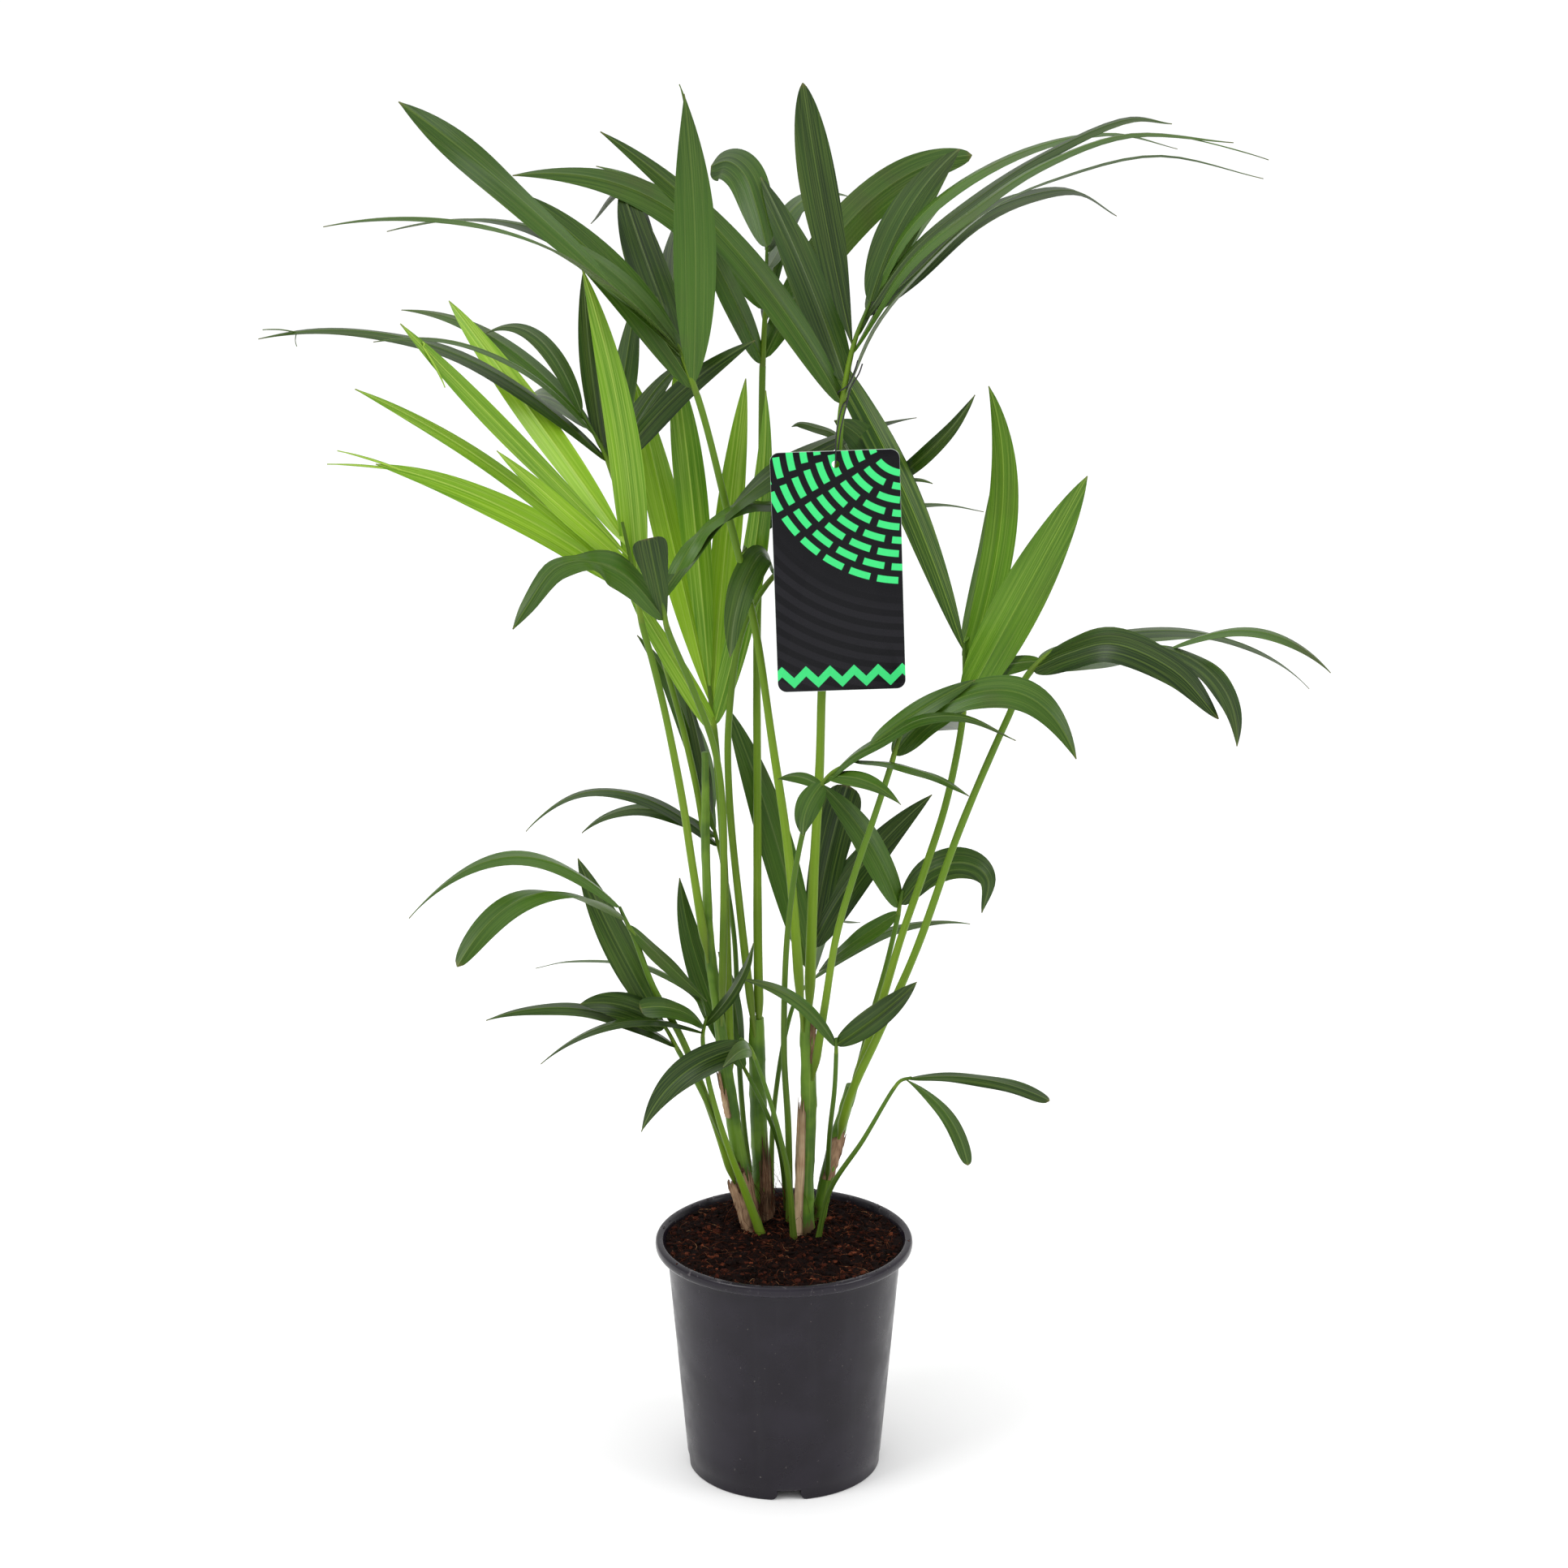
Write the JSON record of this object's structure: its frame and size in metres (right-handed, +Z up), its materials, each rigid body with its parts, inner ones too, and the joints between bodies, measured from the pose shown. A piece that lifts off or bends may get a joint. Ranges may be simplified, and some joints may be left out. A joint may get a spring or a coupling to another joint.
{
  "type": "potted kentia palm",
  "caption": "Young kentia palm clump with upright and arching fronds of long leaflets, in a round black nursery pot of soil, with a plain patterned hang tag.",
  "frame": {"origin": "middle of the pot's flat underside, on the pot's upright axis", "axes": "+Z up along the pot's axis, -Y towards the front, where the hang tag hangs, +X to the right seen from the front"},
  "size_m": [0.7095, 0.45, 0.9689],
  "materials": {
    "pot": "satin charcoal black, scuffed rim",
    "soil": "moist coir with fine fibres",
    "stem": "green, with brown torn sheaths",
    "stalk": "smooth satin green",
    "leaf": "satin dark green with fine parallel veins",
    "leaf_young": "satin yellow-green with fine parallel veins",
    "tag": "glossy near-black card with a green pattern",
    "wire": "black coated twist wire"
  },
  "bodies": {
    "root": {"pot": "pot", "soil": "soil", "tag_card": "tag", "tag_wire": "wire", "stem_left": "stem", "stem_dark": "stem", "stem_middle": "stem", "stem_right": "stem", "stalk_left_top": "stalk", "frond_left_top": "leaf", "stalk_centre_top": "stalk", "frond_centre_top": "leaf", "stalk_right_top": "stalk", "frond_right_top": "leaf", "stalk_left_dark": "stalk", "frond_left_dark": "leaf", "stalk_right_upright": "stalk", "frond_right_upright": "leaf_young", "stalk_left_young": "stalk", "frond_left_young": "leaf_young", "stalk_centre_young": "stalk", "frond_centre_young": "leaf_young", "stalk_left_folded": "stalk", "frond_left_folded": "leaf", "stalk_right_long": "stalk", "frond_right_long": "leaf", "stalk_behind_tag": "stalk", "frond_behind_tag": "leaf", "stalk_left_arching": "stalk", "frond_left_arching": "leaf", "stalk_left_low": "stalk", "frond_left_low": "leaf", "stalk_left_lowest": "stalk", "frond_left_lowest": "leaf", "stalk_front_drooping": "stalk", "frond_front_drooping": "leaf", "stalk_upright_low": "stalk", "frond_upright_low": "leaf", "stalk_right_small": "stalk", "frond_right_small": "leaf", "stalk_right_drooping": "stalk", "frond_right_drooping": "leaf", "stalk_right_low": "stalk", "frond_right_low": "leaf", "stalk_centre_dark": "stalk", "frond_centre_dark": "leaf", "stalk_left_middle": "stalk", "frond_left_middle": "leaf", "stalk_right_arching": "stalk", "frond_right_arching": "leaf", "stalk_right_thin": "stalk", "frond_right_thin": "leaf", "stalk_back_low": "stalk", "frond_back_low": "leaf"}
  },
  "joints": []
}
